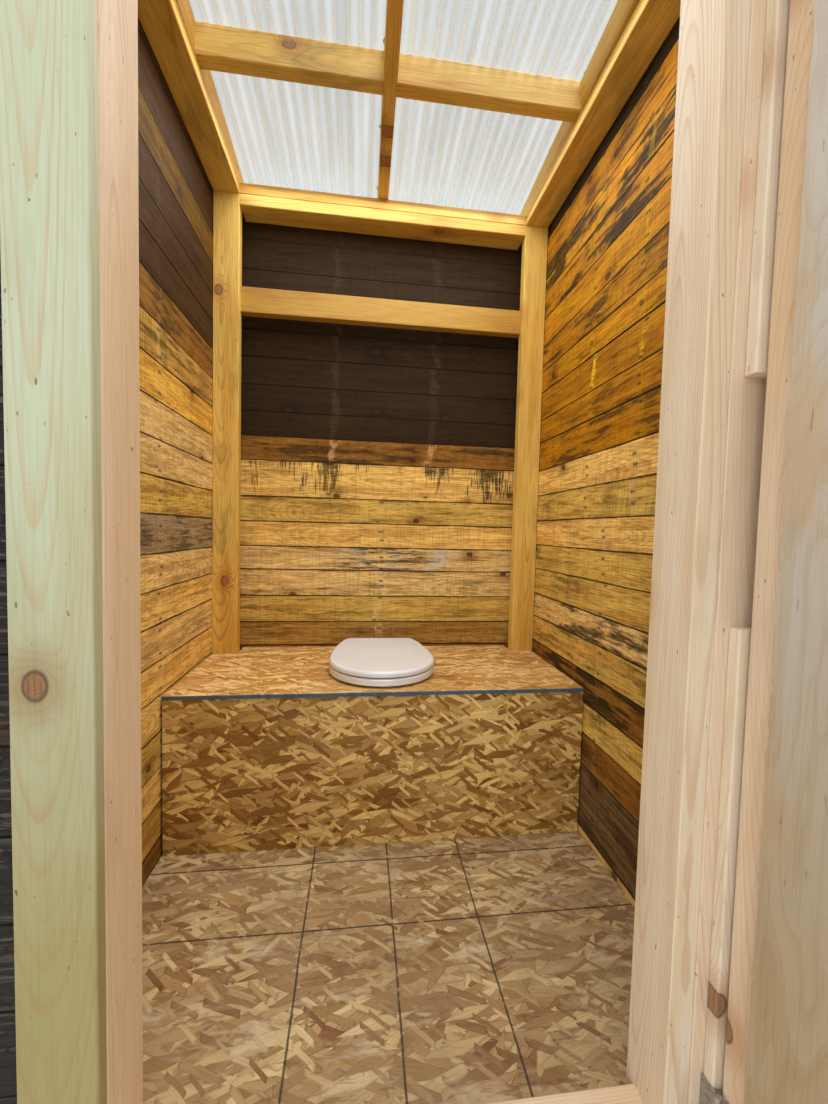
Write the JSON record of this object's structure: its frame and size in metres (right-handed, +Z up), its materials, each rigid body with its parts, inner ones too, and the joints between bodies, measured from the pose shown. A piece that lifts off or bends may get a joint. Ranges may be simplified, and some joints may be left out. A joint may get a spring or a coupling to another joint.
{
  "type": "wooden outhouse",
  "caption": "Wooden outhouse with a clear corrugated roof, a board door and a boxed-in bench with a white seat and lid.",
  "frame": {"origin": "on the ground, under the middle of the floor", "axes": "+X to the right as one faces the doorway, +Y into the building, +Z up"},
  "size_m": [1.3606, 2.1527, 2.4283],
  "materials": {
    "sawn_timber": "dry sawn",
    "reclaimed_boards": "rough, weathered",
    "charred_boards": "rough, charred",
    "strand_board": "flaked, unpainted",
    "plywood": "sanded, unpainted",
    "clear_sheet": "clear, corrugated",
    "white_plastic": "glossy",
    "pale_rubber": "matt",
    "zinc_steel": "zinc plated"
  },
  "bodies": {
    "base": {"back_corner_nailers": "sawn_timber", "back_header": "sawn_timber", "back_posts": "sawn_timber", "back_wall": "reclaimed_boards", "base_cross_joists": "sawn_timber", "base_side_rims": "sawn_timber", "bench_cross_rails": "sawn_timber", "bench_front": "strand_board", "bench_side_rails": "sawn_timber", "bench_top": "strand_board", "cross_top_plates": "sawn_timber", "door_sill": "sawn_timber", "floor_panel": "strand_board", "front_corner_posts": "sawn_timber", "front_left_wall": "charred_boards", "front_right_wall": "charred_boards", "front_roof_riser": "sawn_timber", "front_studs": "sawn_timber", "hinge_battens": "sawn_timber", "hinge_fixed_leaves": "zinc_steel", "hinge_stud": "sawn_timber", "left_door_post": "sawn_timber", "left_door_trim": "sawn_timber", "left_wall": "reclaimed_boards", "over_door_wall": "charred_boards", "rafter_blocking": "sawn_timber", "rafters": "sawn_timber", "right_door_post": "sawn_timber", "right_wall": "reclaimed_boards", "roof_sheet": "clear_sheet", "seat_bumpers": "pale_rubber", "seat_hinge_posts": "white_plastic", "seat_ring": "white_plastic", "shelf_rail": "sawn_timber", "side_top_plates": "sawn_timber"},
    "door": {"door_hinge_stile": "sawn_timber", "door_inner_skin": "plywood", "door_latch_stile": "sawn_timber", "door_outer_boards": "charred_boards", "door_rails": "sawn_timber", "hinge_door_leaves": "zinc_steel"},
    "lid": {"seat_lid": "white_plastic"}
  },
  "joints": [
    {"name": "door_swing", "type": "hinge", "parent": "base", "child": "door", "pos_m": [0.4315, -0.6295, 1.15], "axis": [0, 0, -1], "range_deg": [0, 90]},
    {"name": "lid_swing", "type": "hinge", "parent": "base", "child": "lid", "pos_m": [0, 0.553, 0.588], "axis": [-1, 0, 0], "range_deg": [0, 93]}
  ]
}
